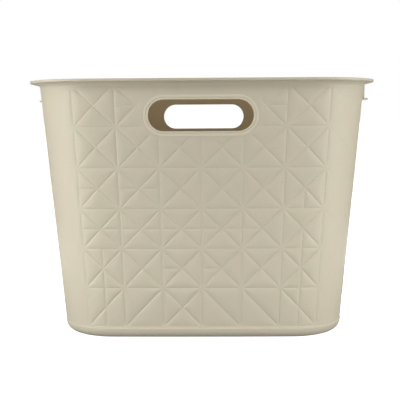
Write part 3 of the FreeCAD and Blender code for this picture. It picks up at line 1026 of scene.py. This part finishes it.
class BASKET_OT_stage(bpy.types.Operator):
    """Build the pale floor, the soft studio light and the camera"""

    bl_idname = "basket.stage"
    bl_label = "Studio"

    def execute(self, context):
        studio = context.scene.basket_studio
        self.make_floor()
        self.make_scrims(studio)
        self.make_world(studio)
        for name, place, size, setting in LAMPS:
            self.make_lamp(name, place, size, getattr(studio, setting), BASKET_HEIGHT / 2)
        for name, out_x, out_y in BOUNCE_SIDES:
            place = (out_x * (RIM_HIGH.x + BOUNCE_ASIDE), out_y * (RIM_HIGH.y + BOUNCE_ASIDE),
                     BOUNCE_HEIGHT)
            self.make_lamp(
                name + " bounce", place, BOUNCE_SIZE, studio.bounce_power, BOUNCE_HEIGHT)
        self.make_camera(studio)
        context.scene.view_settings.view_transform = "Standard"
        return {"FINISHED"}

    def make_floor(self):
        """A wide white floor that runs out of sight and throws no light back."""
        mesh = bpy.data.meshes.new("floor")
        reach = 60.0
        steps = 8
        points = []
        for row in range(steps + 1):
            for column in range(steps + 1):
                points.append((reach * (2 * column / steps - 1), reach * (2 * row / steps - 1), 0))
        faces = []
        for row in range(steps):
            for column in range(steps):
                a = row * (steps + 1) + column
                faces.append((a, a + 1, a + steps + 2, a + steps + 1))
        mesh.from_pydata(points, [], faces)
        # Opal acrylic lit from behind: matt and even, so it shows as plain white.
        material = bpy.data.materials.new("backlit opal acrylic")
        material.use_nodes = True
        tree = material.node_tree
        tree.nodes.clear()
        acrylic = add_node(tree, "ShaderNodeBsdfPrincipled", {
            "Base Color": linear("#f7f7f7") + (1,), "Roughness": 0.9,
            "Specular IOR Level": 0.0, "Emission Color": (1, 1, 1, 1),
            "Emission Strength": 0.97}, {})
        add_node(tree, "ShaderNodeOutputMaterial", {}, {"Surface": acrylic.outputs["BSDF"]})
        mesh.materials.append(material)
        floor = bpy.data.objects.new("studio_floor", mesh)
        bpy.context.scene.collection.objects.link(floor)
        floor.visible_diffuse = False
        floor.visible_glossy = False

    def make_scrims(self, studio):
        """Tinted nets over the mouth and in the slots that hold the lamps back from the inside.

        The camera doesn't see them. Their tint stands for the warm light that is left after many
        bounces between the walls.
        """
        steps = 4
        below_rim = 1 * MM
        inside_wall = 2.5 * MM
        behind_face = 1 * MM
        turns = np.arange(COLUMNS * steps) / steps
        height = RIM_HIGH.z - below_rim
        mouth = shell(turns, np.full(len(turns), height), np.full(len(turns), -inside_wall))
        self.make_scrim("mouth", mouth, studio.mouth_scrim)
        for name, middle in SLOTS:
            edge = slot_outline(middle, slot_path(along=2, around=12), 0.0, -behind_face)
            self.make_scrim(name + " slot", edge, studio.slot_scrim)

    def make_scrim(self, name, outline, tint):
        """One flat net that fills an outline."""
        mesh = bpy.data.meshes.new(name + " scrim")
        mesh.from_pydata([tuple(p) for p in outline], [], [tuple(range(len(outline)))])
        # Dyed nylon net: too fine to see as threads, so it only tints the light that goes through.
        material = bpy.data.materials.new(name + " dyed nylon net")
        material.use_nodes = True
        tree = material.node_tree
        tree.nodes.clear()
        net = add_node(tree, "ShaderNodeBsdfTransparent", {"Color": tuple(tint) + (1,)}, {})
        add_node(tree, "ShaderNodeOutputMaterial", {}, {"Surface": net.outputs["BSDF"]})
        mesh.materials.append(material)
        scrim = bpy.data.objects.new("studio_" + name.replace(" ", "_") + "_scrim", mesh)
        bpy.context.scene.collection.objects.link(scrim)
        scrim.visible_camera = False

    def make_world(self, studio):
        """White surroundings: bright to the eye, and softer as a light on the basket."""
        world = bpy.data.worlds.new("white surroundings")
        world.use_nodes = True
        tree = world.node_tree
        tree.nodes.clear()
        path = add_node(tree, "ShaderNodeLightPath", {}, {})
        horizon = 0.2
        seen = add_node(tree, "ShaderNodeBackground", {"Color": (1, 1, 1, 1), "Strength": 1.0}, {})
        direction = add_node(tree, "ShaderNodeTexCoord", {}, {}).outputs["Generated"]
        rise = add_node(tree, "ShaderNodeSeparateXYZ", {}, {"Vector": direction}).outputs["Z"]
        strength = add_node(tree, "ShaderNodeMapRange", {
            "From Min": -horizon, "From Max": horizon, "To Min": studio.ground_light,
            "To Max": studio.sky_light}, {"Value": rise})
        lit = add_node(tree, "ShaderNodeBackground", {"Color": (1, 1, 1, 1)}, {
            "Strength": strength.outputs["Result"]})
        both = add_node(tree, "ShaderNodeMixShader", {}, {
            0: path.outputs["Is Camera Ray"], 1: lit.outputs[0], 2: seen.outputs[0]})
        add_node(tree, "ShaderNodeOutputWorld", {}, {"Surface": both.outputs[0]})
        bpy.context.scene.world = world

    def make_lamp(self, name, place, size, power, aim_height):
        """An area light that faces the basket's axis at a height."""
        data = bpy.data.lights.new(name, "AREA")
        data.shape = "RECTANGLE"
        data.size, data.size_y = size
        data.energy = power
        lamp = bpy.data.objects.new(name, data)
        bpy.context.scene.collection.objects.link(lamp)
        lamp.location = place
        lamp.visible_camera = False
        aim = Vector((0, 0, aim_height)) - lamp.location
        lamp.rotation_euler = aim.to_track_quat("-Z", "Y").to_euler()

    def make_camera(self, studio):
        """A long lens at the height of the basket's upper half, tilted a little down."""
        data = bpy.data.cameras.new("camera")
        data.sensor_width = 36.0
        data.lens = studio.lens
        camera = bpy.data.objects.new("camera", data)
        bpy.context.scene.collection.objects.link(camera)
        camera.matrix_world = (
            Matrix.Translation((studio.eye_right, -studio.distance, studio.eye_height))
            @ Matrix.Rotation(studio.pan, 4, "Z")
            @ Matrix.Rotation(math.pi / 2 - studio.tilt, 4, "X")
            @ Matrix.Rotation(-studio.roll, 4, "Z")
        )
        bpy.context.scene.camera = camera


OPERATORS = (
    BASKET_OT_walls,
    BASKET_OT_rim,
    BASKET_OT_base,
    BASKET_OT_collars,
    BASKET_OT_stops,
    BASKET_OT_stage,
)


class VIEW3D_PT_basket(bpy.types.Panel):
    """Sidebar panel that lists the basket's pieces"""

    bl_label = "Storage basket"
    bl_space_type = "VIEW_3D"
    bl_region_type = "UI"
    bl_category = "Basket"

    def draw(self, context):
        for operator in OPERATORS:
            self.layout.operator(operator.bl_idname)


GROUPS = (
    ("basket_form", BasketForm),
    ("basket_emboss", BasketEmboss),
    ("basket_finish", BasketFinish),
    ("basket_studio", BasketStudio),
)


def register():
    """Register the settings, the operators and the panel."""
    for name, group in GROUPS:
        bpy.utils.register_class(group)
        setattr(bpy.types.Scene, name, bpy.props.PointerProperty(type=group))
    for item in OPERATORS + (VIEW3D_PT_basket,):
        bpy.utils.register_class(item)


def unregister():
    """Undo register, in the opposite order."""
    for item in reversed(OPERATORS + (VIEW3D_PT_basket,)):
        bpy.utils.unregister_class(item)
    for name, group in reversed(GROUPS):
        delattr(bpy.types.Scene, name)
        bpy.utils.unregister_class(group)


def main():
    """Build every piece and the stage."""
    register()
    bpy.ops.basket.walls()
    bpy.ops.basket.rim()
    bpy.ops.basket.base()
    bpy.ops.basket.collars()
    bpy.ops.basket.stops()
    bpy.ops.basket.stage()


if __name__ == "__main__":
    main()
